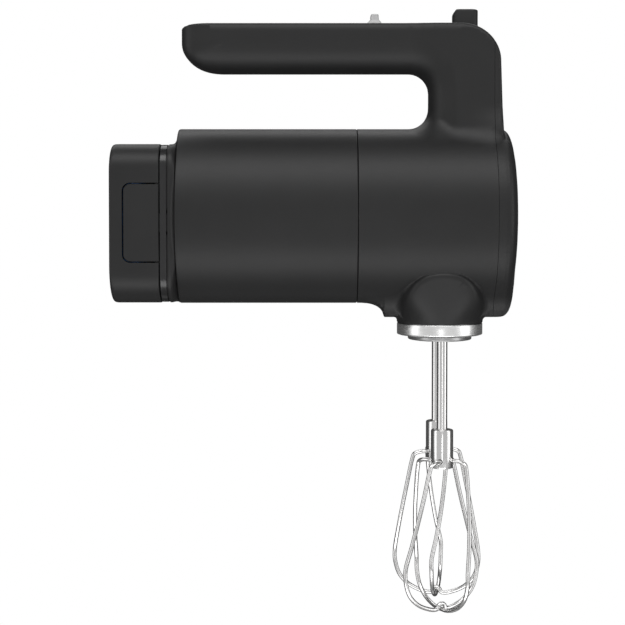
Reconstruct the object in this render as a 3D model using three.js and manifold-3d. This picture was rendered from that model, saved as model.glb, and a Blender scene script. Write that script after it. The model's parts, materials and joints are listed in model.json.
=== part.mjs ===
// Cordless hand mixer, in millimetres, +Z up. The origin lies on the underside of the base plate,
// midway between the two beaters. +X points to the domed front and -X to the battery pack.
import * as THREE from 'three';
import { mergeVertices } from 'three/addons/utils/BufferGeometryUtils.js';
import Module from 'manifold-3d';

const wasm = await Module();
wasm.setup();

// ---- Driving dimensions ----
const GAP = 0.3; // clearance between pieces that touch
const WALL = 2.4; // moulded shell thickness
const AXLE_Z = 75.3; // height of the motor axis and of the barrel's centre
const BARREL = { halfWidth: 42, halfHeight: 53.2, rear: -159, seam: -51.2 };
const BELLY = { drop: 8.7, start: -50.9, length: 16.5 }; // the underside deepens towards the front
const CAP = { seam: 31.5, front: 45.6, sidePower: 5.4, facePower: 2.3 };
const HANDLE = { top: 191.6, bottom: 161.7, tip: -157.6, halfWidth: 15.5, springLine: 177 };
const COLUMN = { rear: -7.5, halfWidth: 17.5, frontTop: 35.5, frontFoot: 36.8, foot: 105, inBar: -30 };
const FINGER_GAP = { cornerRadius: 12, lowCornerZ: 140.5, highCornerZ: 149.7 };
const BOSS = { halfLength: 26.3, ringRadius: 26.2, halfWidthTop: 36.5, bottom: 10.14, top: 43 };
const RING = { bottom: 2.9, top: 9.84, wall: 1.3 };
const PLATE = { halfLength: 19.5, halfWidth: 25.6, lip: 2.6, spigotTop: 12.5 };
const BATTERY = { rear: -198.3, front: -168.8, bottom: 23.2, top: 118.4, halfWidth: 36.5, corner: 17 };
const DOCK = { neckEnd: -168.5, rimEnd: -164.5, rimFront: -159.3, spigotFront: -150.4, neckInset: 2 };
const PACK_WALL = 2.2;
const CELL = { radius: 9.15, pitch: 19, x: -185.5, z: [39, 104] };
const TERMINAL = { z: [60.5, 83.5], halfWidth: 11.4, pitch: 7, blade: 0.5, bladeZ: [64, 80] };
const LATCH = { rear: -189.8, bottom: 48.5, top: 94.3, groove: 0.4, corner: 4.2, tongue: [33.2, 35] };
const LATCH_SEAT = { z: [64, 79], y: [28.7, 30.2], springX: -179.5, springLength: 3.4 };
const SOCKET_Y = 20; // each beater's distance from the middle plane
const SPINDLE = { radius: 5.5, bore: 3.6, bottom: 19, top: 93 };
const WORM = { root: 3.1, tip: 6.8, halfLength: 13, lead: 2 * Math.PI, crest: 1.1, foot: 3.6 };
const WHEEL = { teeth: 15, root: 12.8, tip: 16.6, halfWidth: 4, tipWidth: 1, rootWidth: 3.3 };
const WHEEL_TWIST = 1 / 75; // radians per mm of face width, to follow the worm's lead
const FRAME = { halfLength: 26, wall: 5, floor: [61, 65], lid: [87, 90], screwY: 9.5 };
const MOTOR = { radius: 26, wall: 2.5, rear: -120, front: -64 };
const FAN = { hub: 8, rear: 6, length: 8, blades: 8, tip: 22 };
const BOARD = { x: [-112, -60], halfWidth: 20, z: [105, 106.6] };
const SLIDER = { base: [-45.1, -36], thumb: [-42.7, -37.9], stem: [-42.5, -38.5],
  baseTop: 195.4, top: 198.2 };
const SLOT = { x: [-43.5, -19.5], halfWidth: 2.3 };
const BUTTON = { x: [7.4, 22.5], halfWidth: 7, corner: 2.5, foot: 181.5, top: 201, flange: 2.5 };
const EJECT = { x: 15, rod: 3, barZ: [100, 104], pinEnd: 56, pin: 2.7 };
const SCREW = { post: 4.5, head: 2.8, shank: 1.3, seatY: 6 };
const BEATER = { shaft: 3.15, top: 48, foot: -65, collar: 6.75, collarTop: -55.5,
  collarFoot: -76.5, wire: 1.3 };
const LOOP = { holeZ: -72, shoulder: 16.3, shoulderZ: -77, widest: 26.5, widestZ: -136, foot: -162.5 };
const ARM_TWIST = THREE.MathUtils.degToRad(27.6); // between an arm's shoulder and its widest point
const HOLE_TWIST = THREE.MathUtils.degToRad(44); // between its hole in the collar and that point
const EDGE_ROUNDING = 3; // on the column's side edges
const HOUSING_SCREWS = [[-130, 178], [-62, 178], [26, 150]]; // X and Z of the clamshell's screws
const FAR = 300; // past everything, for cutting planes
const SIDES = [[-1, 'near'], [1, 'far']];

// ---- Materials ----
const finish = (color, roughness, metalness) =>
  new THREE.MeshStandardMaterial({ color, roughness, metalness });
const BLACK = finish(0x2b2b2c, 0.55, 0);
const DARK = finish(0x1b1b1c, 0.3, 0);
const PLATE_GREY = finish(0x3a3a3b, 0.5, 0);
const SILVER = finish(0x9a9a9a, 0.45, 0.1);
const STEEL = finish(0xc8c8c8, 0.25, 1);
const ZINC = finish(0x8f9294, 0.4, 0.9);
const BRONZE = finish(0xa9793f, 0.4, 0.9);
const NYLON = finish(0xe6e0cf, 0.5, 0);
const FERRITE = finish(0x3b3a3c, 0.7, 0.1);
const BOARD_GREEN = finish(0x1d5a37, 0.6, 0);
const CELL_WRAP = finish(0x2f6aa3, 0.4, 0);

// ---- Solids: three.js geometry in and out of manifold-3d ----
function outward(geometry) {
  const bare = geometry.clone();
  bare.deleteAttribute('normal');
  bare.deleteAttribute('uv');
  const merged = mergeVertices(bare, 1e-4);
  const p = merged.attributes.position;
  const corner = [0, 1, 2].map(() => new THREE.Vector3());
  const kept = [];
  let volume = 0;
  for (let i = 0; i < merged.index.count; i += 3) {
    const ids = [0, 1, 2].map((k) => merged.index.getX(i + k));
    if (new Set(ids).size < 3) continue;
    ids.forEach((id, k) => corner[k].fromBufferAttribute(p, id));
    volume += corner[0].dot(corner[1].clone().cross(corner[2]));
    kept.push(ids);
  }
  merged.setIndex(kept.flatMap((ids) => (volume < 0 ? ids.reverse() : ids)));
  return merged;
}

function solid(geometry) {
  const closed = outward(geometry);
  const vertProperties = new Float32Array(closed.attributes.position.array);
  const triVerts = new Uint32Array(closed.index.array);
  return new wasm.Manifold(new wasm.Mesh({ numProp: 3, vertProperties, triVerts }));
}

function geometryOf(manifold) {
  const { vertProperties, triVerts } = manifold.getMesh();
  const geometry = new THREE.BufferGeometry();
  geometry.setAttribute('position', new THREE.BufferAttribute(vertProperties, 3));
  geometry.setIndex(new THREE.BufferAttribute(triVerts, 1));
  return geometry;
}

const fold = (first, others, step) => geometryOf(others.reduce((s, g) => step(s, solid(g)), solid(first)));
const join = (first, ...others) => fold(first, others, (a, b) => a.add(b));
const cut = (first, ...others) => fold(first, others, (a, b) => a.subtract(b));
const common = (first, ...others) => fold(first, others, (a, b) => a.intersect(b));

// ---- Shape helpers ----
function box([x0, x1], [y0, y1], [z0, z1]) {
  const block = new THREE.BoxGeometry(x1 - x0, y1 - y0, z1 - z0);
  return block.translate((x0 + x1) / 2, (y0 + y1) / 2, (z0 + z1) / 2);
}

function rod(radius, start, end, sides = 16) {
  const from = new THREE.Vector3(...start);
  const along = new THREE.Vector3(...end).sub(from);
  const bar = new THREE.CylinderGeometry(radius, radius, along.length(), sides);
  const turn = new THREE.Quaternion();
  turn.setFromUnitVectors(new THREE.Vector3(0, 1, 0), along.clone().normalize());
  return bar.applyQuaternion(turn).translate(...from.addScaledVector(along, 0.5).toArray());
}

function tube(outer, inner, start, end, sides = 16) {
  const along = new THREE.Vector3(...end).sub(new THREE.Vector3(...start)).normalize();
  const past = (point, sign) => new THREE.Vector3(...point).addScaledVector(along, sign).toArray();
  return cut(rod(outer, start, end, sides), rod(inner, past(start, -1), past(end, 1), sides));
}

// Extrusion options for a solid of the given full depth whose end edges are rounded.
const rounded = (depth, rounding, bevelSegments, curveSegments) => ({
  depth: depth - 2 * rounding,
  curveSegments,
  bevelEnabled: rounding > 0,
  bevelSize: rounding,
  bevelThickness: rounding,
  bevelOffset: -rounding,
  bevelSegments,
});

// An outline in the X-Z plane, extruded to both sides of the middle plane.
function slab(outline, halfWidth, rounding = 0) {
  const block = new THREE.ExtrudeGeometry(outline, rounded(2 * halfWidth, rounding, 1, 5));
  return block.rotateX(Math.PI / 2).translate(0, halfWidth - rounding, 0);
}

// An outline in the Y-Z plane, extruded along X.
function alongX(outline, x0, x1, rounding = 0) {
  const block = new THREE.ExtrudeGeometry(outline, rounded(x1 - x0, rounding, 2, 4));
  return block.rotateX(Math.PI / 2).rotateZ(Math.PI / 2).translate(x0 + rounding, 0, 0);
}

function roundedRectangle(u0, u1, v0, v1, radius) {
  const shape = new THREE.Shape();
  shape.absarc(u1 - radius, v0 + radius, radius, -Math.PI / 2, 0, false);
  shape.absarc(u1 - radius, v1 - radius, radius, 0, Math.PI / 2, false);
  shape.absarc(u0 + radius, v1 - radius, radius, Math.PI / 2, Math.PI, false);
  shape.absarc(u0 + radius, v0 + radius, radius, Math.PI, 1.5 * Math.PI, false);
  return shape;
}

class Coil extends THREE.Curve {
  constructor(radius, turns, length) {
    super();
    Object.assign(this, { radius, turns, length });
  }

  getPoint(t, target = new THREE.Vector3()) {
    const angle = 2 * Math.PI * this.turns * t;
    return target.set(this.radius * Math.cos(angle), this.radius * Math.sin(angle), this.length * t);
  }
}

function swept(path, radius, steps) {
  const section = new THREE.Shape().absarc(0, 0, radius, 0, 2 * Math.PI, false);
  return new THREE.ExtrudeGeometry(section, { steps, extrudePath: path, curveSegments: 3 });
}

function spring(radius, wire, turns, length) {
  return swept(new Coil(radius, turns, length - 2 * wire), wire, turns * 7).translate(0, 0, wire);
}

// ---- The assembly ----
const mixer = new THREE.Group();

function piece(name, geometry, material, group = mixer) {
  const mesh = new THREE.Mesh(geometry, material);
  mesh.name = name;
  group.add(mesh);
  return mesh;
}

// ---- Outer form ----
function bellyDepth(x) {
  const reach = THREE.MathUtils.clamp((x - BELLY.start) / BELLY.length, 0, 1);
  return BARREL.halfHeight + BELLY.drop * (1 - Math.sqrt(1 - reach * reach));
}

// A solid of elliptic sections along X. stations are [x, share of the full section].
function barrel(stations, inset = 0, sides = 32) {
  const body = new THREE.LatheGeometry(stations.map(([x, share]) => new THREE.Vector2(share, x)), sides);
  const p = body.attributes.position;
  for (let i = 0; i < p.count; i++) {
    const [side, x, up] = [p.getX(i), p.getY(i), p.getZ(i)];
    const half = up < 0 ? bellyDepth(x) : BARREL.halfHeight;
    p.setXYZ(i, x, side * (BARREL.halfWidth - inset), AXLE_Z + up * (half - inset));
  }
  return body;
}

function frontBarrel(inset) {
  const rear = BARREL.seam + GAP - (inset > 0 ? 10 : 0);
  const deepening = [0.4, 0.7, 0.88, 1].map((share) => [BELLY.start + share * BELLY.length, 1]);
  const dome = [];
  const steps = 5;
  for (let i = 1; i <= steps; i++) {
    const turn = (i / steps) * (Math.PI / 2);
    const depth = (CAP.front - inset - CAP.seam) * Math.sin(turn) ** (2 / CAP.sidePower);
    dome.push([CAP.seam + depth, i === steps ? 0 : Math.cos(turn) ** (2 / CAP.facePower)]);
  }
  return barrel([[rear, 0], [rear, 1], ...deepening, [CAP.seam, 1], ...dome], inset);
}

// The column's side outline, with the rounded top front corner and the finger gap's front corners.
function columnOutline(inset) {
  const { cornerRadius, lowCornerZ, highCornerZ } = FINGER_GAP;
  const cornerX = COLUMN.rear - cornerRadius;
  const radius = cornerRadius + inset;
  const crown = { x: 11.3, z: 168.6 };
  const outline = new THREE.Shape();
  outline.moveTo(COLUMN.inBar, HANDLE.top - inset);
  outline.lineTo(crown.x, HANDLE.top - inset);
  const reach = [COLUMN.frontTop - crown.x - inset, HANDLE.top - crown.z - inset];
  outline.absellipse(crown.x, crown.z, ...reach, Math.PI / 2, 0, true);
  outline.lineTo(COLUMN.frontFoot - inset, 130);
  outline.lineTo(COLUMN.frontFoot - inset, COLUMN.foot);
  outline.lineTo(cornerX, COLUMN.foot);
  outline.absarc(cornerX, lowCornerZ, radius, -Math.PI / 2, 0, false);
  outline.absarc(cornerX, highCornerZ, radius, 0, Math.PI / 2, false);
  outline.lineTo(COLUMN.inBar, HANDLE.bottom + inset);
  return outline;
}

function handleBar(inset) {
  const { top, bottom, tip, halfWidth, springLine } = HANDLE;
  const half = halfWidth - inset;
  const section = new THREE.Shape();
  section.moveTo(-half, top - inset);
  section.lineTo(-half, springLine);
  section.absellipse(0, springLine, half, springLine - bottom - inset, Math.PI, 2 * Math.PI, false);
  section.lineTo(half, top - inset);
  const nose = { length: 25.5, height: 18.3 };
  const end = new THREE.Shape();
  end.moveTo(0, top - inset);
  end.lineTo(tip + 14, top - inset);
  end.quadraticCurveTo(tip + 0.6 + inset, top - 0.4 - inset, tip + inset, top - 8);
  const reach = [nose.length - inset, nose.height - inset];
  end.absellipse(tip + nose.length, bottom + nose.height, ...reach, Math.PI, 1.5 * Math.PI, false);
  end.lineTo(0, bottom + inset);
  return common(alongX(section, tip - 1, COLUMN.rear - FINGER_GAP.cornerRadius), slab(end, 20));
}

// The gear boss: round at the steel ring, squarer and wider under the barrel, and arched from the side.
function boss(inset) {
  const bottom = inset > 0 ? BOSS.bottom - 1 : BOSS.bottom;
  const wall = new THREE.CylinderGeometry(1, 1, BOSS.top - bottom, 32, 4).rotateX(Math.PI / 2);
  const p = wall.attributes.position;
  for (let i = 0; i < p.count; i++) {
    const z = (BOSS.top + bottom) / 2 + p.getZ(i);
    const rise = THREE.MathUtils.clamp((z - BOSS.bottom) / 30, 0, 1);
    const halfWidth = THREE.MathUtils.lerp(BOSS.ringRadius, BOSS.halfWidthTop, rise);
    const power = 2 + 3 * Math.min(1, 2 * rise);
    const norm = (Math.abs(p.getX(i)) ** power + Math.abs(p.getY(i)) ** power) ** (1 / power);
    const out = norm > 0.5 ? 1 / norm : 1;
    p.setXYZ(i, p.getX(i) * out * (BOSS.halfLength - inset), p.getY(i) * out * (halfWidth - inset), z);
  }
  const arch = new THREE.Shape();
  arch.absarc(0, BOSS.top - BOSS.halfLength, BOSS.halfLength - inset, 0, Math.PI, false);
  arch.lineTo(inset - BOSS.halfLength, 0);
  arch.lineTo(BOSS.halfLength - inset, 0);
  return common(wall, slab(arch, 40));
}

const frontForm = (inset) => join(
  frontBarrel(inset),
  slab(columnOutline(inset), COLUMN.halfWidth - inset, EDGE_ROUNDING),
  handleBar(inset),
  boss(inset));

// ---- Housings ----
function screwPost(x, z, side) {
  const reach = (x > 0 ? COLUMN.halfWidth : HANDLE.halfWidth) - 1;
  return rod(SCREW.post, [x, side * GAP / 2, z], [x, side * reach, z], 16);
}

function housings() {
  const form = frontForm(0);
  const shell = cut(form, frontForm(WALL));
  const aboveHandle = [185, 200];
  const slot = box(SLOT.x, [-SLOT.halfWidth, SLOT.halfWidth], aboveHandle);
  const holeHalf = BUTTON.halfWidth + GAP;
  const buttonHole = box([BUTTON.x[0] - GAP, BUTTON.x[1] + GAP], [-holeHalf, holeHalf], aboveHandle);
  const cover = cut(shell, box([CAP.seam - GAP, FAR], [-FAR, FAR], [-FAR, FAR]), slot, buttonHole);
  const { head, shank, seatY } = SCREW;
  for (const [side, name] of SIDES) {
    const half = side < 0 ? [-FAR, -GAP / 2] : [GAP / 2, FAR];
    const posts = HOUSING_SCREWS.map(([x, z]) => screwPost(x, z, side));
    const shanks = HOUSING_SCREWS.map(([x, z]) => rod(shank + GAP, [x, -11, z], [x, 20, z], 12));
    const heads = HOUSING_SCREWS.map(([x, z]) => rod(head + 0.4, [x, seatY, z], [x, 20, z], 16));
    const body = join(common(cover, box([-FAR, FAR], half, [-FAR, FAR])), ...posts);
    piece(`front_housing_${name}`, cut(common(body, form), ...shanks, ...(side > 0 ? heads : [])), BLACK);
  }
  HOUSING_SCREWS.forEach(([x, z], i) => {
    const button = rod(head, [x, seatY + GAP, z], [x, seatY + 2.5, z], 14);
    piece(`housing_screw_${i + 1}`, join(rod(shank, [x, -10, z], [x, seatY + 1, z], 10), button), ZINC);
  });
  piece('front_cap', common(shell, box([CAP.seam, FAR], [-FAR, FAR], [-FAR, FAR])), BLACK);
  const { rear, seam } = BARREL;
  const outer = barrel([[rear, 0], [rear, 1], [seam, 1], [seam, 0]]);
  const inner = barrel([[rear - 1, 0], [rear - 1, 1], [seam + 1, 1], [seam + 1, 0]], WALL);
  piece('rear_housing', cut(outer, inner), BLACK);
}

function baseAndRing() {
  const { bottom, top, wall } = RING;
  const outline = (radius, chamfer) => [
    [radius - wall, bottom], [radius - chamfer, bottom], [radius, bottom + chamfer],
    [radius, top], [radius - wall, top], [radius - wall, bottom]].map((p) => new THREE.Vector2(...p));
  const ring = new THREE.LatheGeometry(outline(BOSS.ringRadius, 0.6), 32).rotateX(Math.PI / 2);
  piece('collar_ring', ring, STEEL);
  const oval = new THREE.CylinderGeometry(1, 1, PLATE.lip, 28).rotateX(Math.PI / 2);
  oval.scale(PLATE.halfLength, PLATE.halfWidth, 1).translate(0, 0, PLATE.lip / 2);
  const plug = rod(BOSS.ringRadius - wall - GAP, [0, 0, PLATE.lip - 0.5], [0, 0, top], 28);
  const spigot = rod(BOSS.ringRadius - WALL - GAP, [0, 0, top - 0.5], [0, 0, PLATE.spigotTop], 28);
  const holes = [-1, 1].map((s) => rod(4, [0, s * SOCKET_Y, -1], [0, s * SOCKET_Y, PLATE.spigotTop + 1]));
  piece('base_plate', cut(join(oval, plug, spigot), ...holes), PLATE_GREY);
}

// ---- Gear train ----
function gearOutline(phase) {
  const outline = new THREE.Shape();
  const corners = [
    [WHEEL.root, -WHEEL.rootWidth], [WHEEL.tip, -WHEEL.tipWidth],
    [WHEEL.tip, WHEEL.tipWidth], [WHEEL.root, WHEEL.rootWidth]];
  for (let tooth = 0; tooth < WHEEL.teeth; tooth++) {
    const middle = phase + (tooth * 2 * Math.PI) / WHEEL.teeth;
    corners.forEach(([radius, width], i) => {
      const angle = middle + width / 2 / radius;
      const point = [radius * Math.cos(angle), radius * Math.sin(angle)];
      if (tooth + i === 0) outline.moveTo(...point);
      else outline.lineTo(...point);
    });
  }
  return outline;
}

function wormWheel(phase) {
  const depth = 2 * WHEEL.halfWidth;
  const options = { depth, steps: 2, bevelEnabled: false };
  const wheel = new THREE.ExtrudeGeometry(gearOutline(phase), options).translate(0, 0, -WHEEL.halfWidth);
  const p = wheel.attributes.position;
  for (let i = 0; i < p.count; i++) {
    const point = new THREE.Vector2(p.getX(i), p.getY(i));
    point.rotateAround(new THREE.Vector2(), p.getZ(i) * WHEEL_TWIST);
    p.setXY(i, point.x, point.y);
  }
  const bore = rod(SPINDLE.radius + GAP, [0, 0, -9], [0, 0, 9]);
  return cut(wheel, bore).translate(0, 0, AXLE_Z);
}

// A single-start worm on the X axis: a cylinder whose radius follows the thread.
function worm() {
  const { root, tip, halfLength, lead, crest, foot } = WORM;
  const thread = new THREE.CylinderGeometry(1, 1, 2 * halfLength, 16, 32).rotateZ(-Math.PI / 2);
  const p = thread.attributes.position;
  for (let i = 0; i < p.count; i++) {
    const [x, y, z] = [p.getX(i), p.getY(i), p.getZ(i)];
    const along = x - (lead * Math.atan2(z, y)) / (2 * Math.PI);
    const fromCrest = Math.abs(along - lead * Math.round(along / lead));
    const climb = THREE.MathUtils.clamp((foot / 2 - fromCrest) / ((foot - crest) / 2), 0, 1);
    const radius = root + (tip - root) * climb;
    p.setXYZ(i, x, y * radius, AXLE_Z + z * radius);
  }
  return cut(thread, rod(2.3, [-20, 0, AXLE_Z], [20, 0, AXLE_Z], 14));
}

function gearTrain() {
  const pitchAngle = (2 * Math.PI) / WHEEL.teeth;
  const sides = [
    { name: 'near', y: -SOCKET_Y, phase: Math.PI / 2 },
    { name: 'far', y: SOCKET_Y, phase: -Math.PI / 2 + pitchAngle / 2 }];
  const { floor, lid } = FRAME;
  for (const { name, y, phase } of sides) {
    const place = new THREE.Group();
    place.position.y = y;
    mixer.add(place);
    const { radius, bore, bottom, top } = SPINDLE;
    piece(`${name}_spindle`, tube(radius, bore, [0, 0, bottom], [0, 0, top]), STEEL, place);
    piece(`${name}_worm_wheel`, wormWheel(phase), NYLON, place);
    const bush = ([z0, z1]) => tube(7.1, radius + GAP, [0, 0, z0 - GAP], [0, 0, z1 + GAP]);
    piece(`${name}_lower_bushing`, bush(floor), BRONZE, place);
    piece(`${name}_upper_bushing`, bush(lid), BRONZE, place);
  }
  piece('worm', worm(), STEEL);
}

function gearFrame() {
  const { halfLength, wall, floor, lid, screwY } = FRAME;
  const seats = (z) => [-1, 1].map((s) => rod(7.4, [0, s * SOCKET_Y, z - 9], [0, s * SOCKET_Y, z + 9]));
  const inner = halfLength - wall;
  const wallOf = (x0, x1) => box([x0, x1], [-13, 13], [floor[1] - 1, lid[0] - GAP]);
  const screwX = halfLength - wall / 2;
  const corners = [[-1, -1], [-1, 1], [1, -1], [1, 1]].map(([i, j]) => [i * screwX, j * screwY]);
  const tray = join(
    box([-halfLength, halfLength], [-33, 33], floor),
    wallOf(-halfLength, -inner), wallOf(inner, halfLength));
  const pilots = corners.map(([x, y]) => rod(1.6, [x, y, 75], [x, y, 100], 10));
  const axleBore = rod(6.3, [-40, 0, AXLE_Z], [40, 0, AXLE_Z]);
  piece('gearbox_frame', cut(tray, ...seats(floor[0]), axleBore, ...pilots), ZINC);
  const cover = box([-halfLength, halfLength], [-30, 30], lid);
  piece('gearbox_cover', cut(cover, ...seats(lid[0]), ...pilots), ZINC);
  corners.forEach(([x, y], i) => {
    const top = lid[1] + GAP;
    const button = rod(2.5, [x, y, top], [x, y, top + 2], 12);
    piece(`gearbox_screw_${i + 1}`, join(rod(1.3, [x, y, 77], [x, y, top + 1], 8), button), ZINC);
  });
  const ring = (x0, x1) => tube(6, 2.3, [x0, 0, AXLE_Z], [x1, 0, AXLE_Z]);
  piece('worm_front_bearing', ring(inner, halfLength), STEEL);
  piece('worm_rear_bearing', ring(-halfLength, -inner), STEEL);
}

// ---- Motor ----
function motor() {
  const { radius, wall, rear, front } = MOTOR;
  const at = (x) => [x, 0, AXLE_Z];
  const inner = radius - wall;
  const can = cut(rod(radius, at(rear), at(front), 32), rod(inner, at(rear - 1), at(front - 2), 32));
  piece('motor_can', cut(can, rod(8, at(front - 5), at(front + 5))), ZINC);
  const bell = cut(rod(radius, at(rear - 4), at(rear - GAP), 32), rod(5.3, at(rear - 9), at(rear + 9)));
  piece('motor_end_bell', bell, DARK);
  piece('motor_rear_bearing', tube(5, 2.8, at(rear - 4), at(rear - GAP)), STEEL);
  const magnets = tube(inner - GAP, 18, at(rear + 10), at(front - 10), 32);
  for (const [side, name] of [[1, 'upper'], [-1, 'lower']]) {
    const span = [AXLE_Z + side * 11, AXLE_Z + side * radius].sort((a, b) => a - b);
    piece(`${name}_magnet`, common(magnets, box([rear, front], [-radius, radius], span)), FERRITE);
  }
  const [shaft, commutator, laminations] = [2.5, 7, 17];
  const profile = [
    [rear - 6, 0], [rear - 6, shaft], [rear + 1, shaft], [rear + 1, commutator], [rear + 7, commutator],
    [rear + 7, shaft], [rear + 9, shaft], [rear + 9, laminations], [front - 9, laminations],
    [front - 9, shaft], [-30, shaft], [-30, 2], [FRAME.halfLength, 2], [FRAME.halfLength, 0]];
  const turned = new THREE.LatheGeometry(profile.map(([x, r]) => new THREE.Vector2(r, x)), 20);
  piece('armature', turned.rotateZ(-Math.PI / 2).translate(0, 0, AXLE_Z), STEEL);
  const fanRear = front + FAN.rear;
  const half = FAN.length / 2;
  const blades = [];
  for (let i = 0; i < FAN.blades; i++) {
    const blade = box([-half, half], [-0.8, 0.8], [FAN.hub - 2, FAN.tip]).rotateZ(0.5);
    blades.push(blade.rotateX((i * 2 * Math.PI) / FAN.blades).translate(fanRear + half, 0, AXLE_Z));
  }
  const hub = rod(FAN.hub, at(fanRear), at(fanRear + FAN.length), 16);
  const bore = rod(shaft + GAP, at(fanRear - 9), at(fanRear + 19), 12);
  piece('cooling_fan', cut(join(hub, ...blades), bore), DARK);
}

// ---- Controls ----
function controls() {
  const onBoard = BOARD.z[1] - 0.6;
  const parts = [
    box([-84, -70], [-12, 12], [onBoard, 113]),
    box([-106, -100], [-15, -3], [onBoard, 116]),
    rod(5, [-93, 8, onBoard], [-93, 8, 119], 14)];
  const base = box(BOARD.x, [-BOARD.halfWidth, BOARD.halfWidth], BOARD.z);
  piece('control_board', join(base, ...parts), BOARD_GREEN);
  const groove = box(SLOT.x, [-SLOT.halfWidth, SLOT.halfWidth], [183, 190]);
  piece('speed_switch', cut(box([-47, -15], [-8, 8], [169, 186.5]), groove), DARK);
  const slider = join(
    box(SLIDER.base, [-6, 6], [HANDLE.top + GAP, SLIDER.baseTop]),
    box(SLIDER.thumb, [-5, 5], [SLIDER.baseTop - 0.4, SLIDER.top]),
    box(SLIDER.stem, [-1.9, 1.9], [184, SLIDER.baseTop - 0.4]));
  piece('speed_slider', slider, SILVER);
  const { foot, top, flange, halfWidth, corner } = BUTTON;
  const cap = roundedRectangle(...BUTTON.x, -halfWidth, halfWidth, corner);
  const thumb = new THREE.ExtrudeGeometry(cap, rounded(top - foot, 1, 1, 3)).translate(0, 0, foot + 1);
  const stopX = [BUTTON.x[0] - 1.9, BUTTON.x[1] + 1.9];
  const stop = box(stopX, [-halfWidth - 2, halfWidth + 2], [foot, foot + flange]);
  piece('eject_button', join(thumb, stop), BLACK);
  const { x, rod: rodRadius, pin, pinEnd, barZ } = EJECT;
  const [barFoot, barTop] = barZ;
  piece('eject_rod', rod(rodRadius, [x, 0, barTop + GAP], [x, 0, foot - GAP], 14), NYLON);
  const pins = SIDES.map(([s]) => rod(pin, [0, s * SOCKET_Y, pinEnd], [0, s * SOCKET_Y, barFoot + 1], 14));
  const yoke = join(box([-6, 6], [-24, 24], barZ), box([0, x + 5], [-5, 5], barZ), ...pins);
  piece('eject_yoke', yoke, NYLON);
  const seat = FRAME.lid[1] + GAP;
  const coil = piece('eject_spring', spring(3.6, 0.45, 4, barFoot - GAP - seat), STEEL);
  coil.position.set(x, 0, seat);
}

// ---- Battery pack and its dock ----
function packSection(inset) {
  const { bottom, top, halfWidth, corner } = BATTERY;
  return roundedRectangle(inset - halfWidth, halfWidth - inset, bottom + inset, top - inset, corner - inset);
}

const outwards = (side, [near, far]) => [side * near, side * far].sort((a, b) => a - b);

function dock() {
  const { neckEnd, rimEnd, rimFront, spigotFront, neckInset } = DOCK;
  const ends = [rimFront - 1, spigotFront];
  const spigot = barrel([[ends[0], 0], [ends[0], 1], [ends[1], 1], [ends[1], 0]], WALL + GAP);
  const body = join(
    alongX(packSection(GAP), rimEnd, rimFront - GAP),
    alongX(packSection(neckInset), neckEnd, rimEnd + 1),
    spigot);
  const recess = barrel([[-156, 0], [-156, 0.9], [-149, 0.9], [-149, 0]], WALL);
  const across = TERMINAL.halfWidth + 0.4;
  const window = box([-170, -149], [-across, across], [TERMINAL.z[0] - 0.5, TERMINAL.z[1] + 0.5]);
  const pockets = SIDES.map(([s]) => box([-170, -160.5], outwards(s, [29.5, 35.6]), [64, 79]));
  piece('battery_dock', cut(body, recess, window, ...pockets), BLACK);
  const { pitch, blade, bladeZ, halfWidth, z } = TERMINAL;
  const blades = [-pitch, 0, pitch].map((y) => box([-173, -162], [y - blade, y + blade], bladeZ));
  piece('dock_terminals', join(box([-163, -152], [-halfWidth, halfWidth], z), ...blades), BRONZE);
}

function batteryTerminals() {
  const { z, halfWidth, pitch, blade, bladeZ } = TERMINAL;
  const across = halfWidth - 0.4;
  const slotHalf = blade + 0.4;
  const slotZ = [bladeZ[0] - 0.5, bladeZ[1] + 0.5];
  const sockets = [-pitch, 0, pitch].map((y) => box([-173.6, -160], [y - slotHalf, y + slotHalf], slotZ));
  const block = box([-174.5, BATTERY.front - GAP], [-across, across], z);
  piece('battery_terminals', cut(block, ...sockets), DARK);
}

function latch(side, name) {
  const { front, halfWidth } = BATTERY;
  const { rear, bottom, top, corner, tongue } = LATCH;
  const outline = roundedRectangle(rear, front, bottom, top, corner);
  const straightEnd = box([front - 9, front], [-PACK_WALL / 2, PACK_WALL / 2], [bottom, top]);
  const panel = join(slab(outline, PACK_WALL / 2), straightEnd);
  panel.translate(0, side * (halfWidth - PACK_WALL / 2), 0);
  const hook = box([-176, -161.5], outwards(side, tongue), [66, 77]);
  piece(`${name}_latch`, join(panel, hook), BLACK);
  const coil = piece(`${name}_latch_spring`, spring(2.6, 0.35, 3, LATCH_SEAT.springLength), STEEL);
  coil.rotation.x = (-side * Math.PI) / 2;
  coil.position.set(LATCH_SEAT.springX, side * (LATCH_SEAT.y[1] + GAP), (bottom + top) / 2);
}

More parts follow.
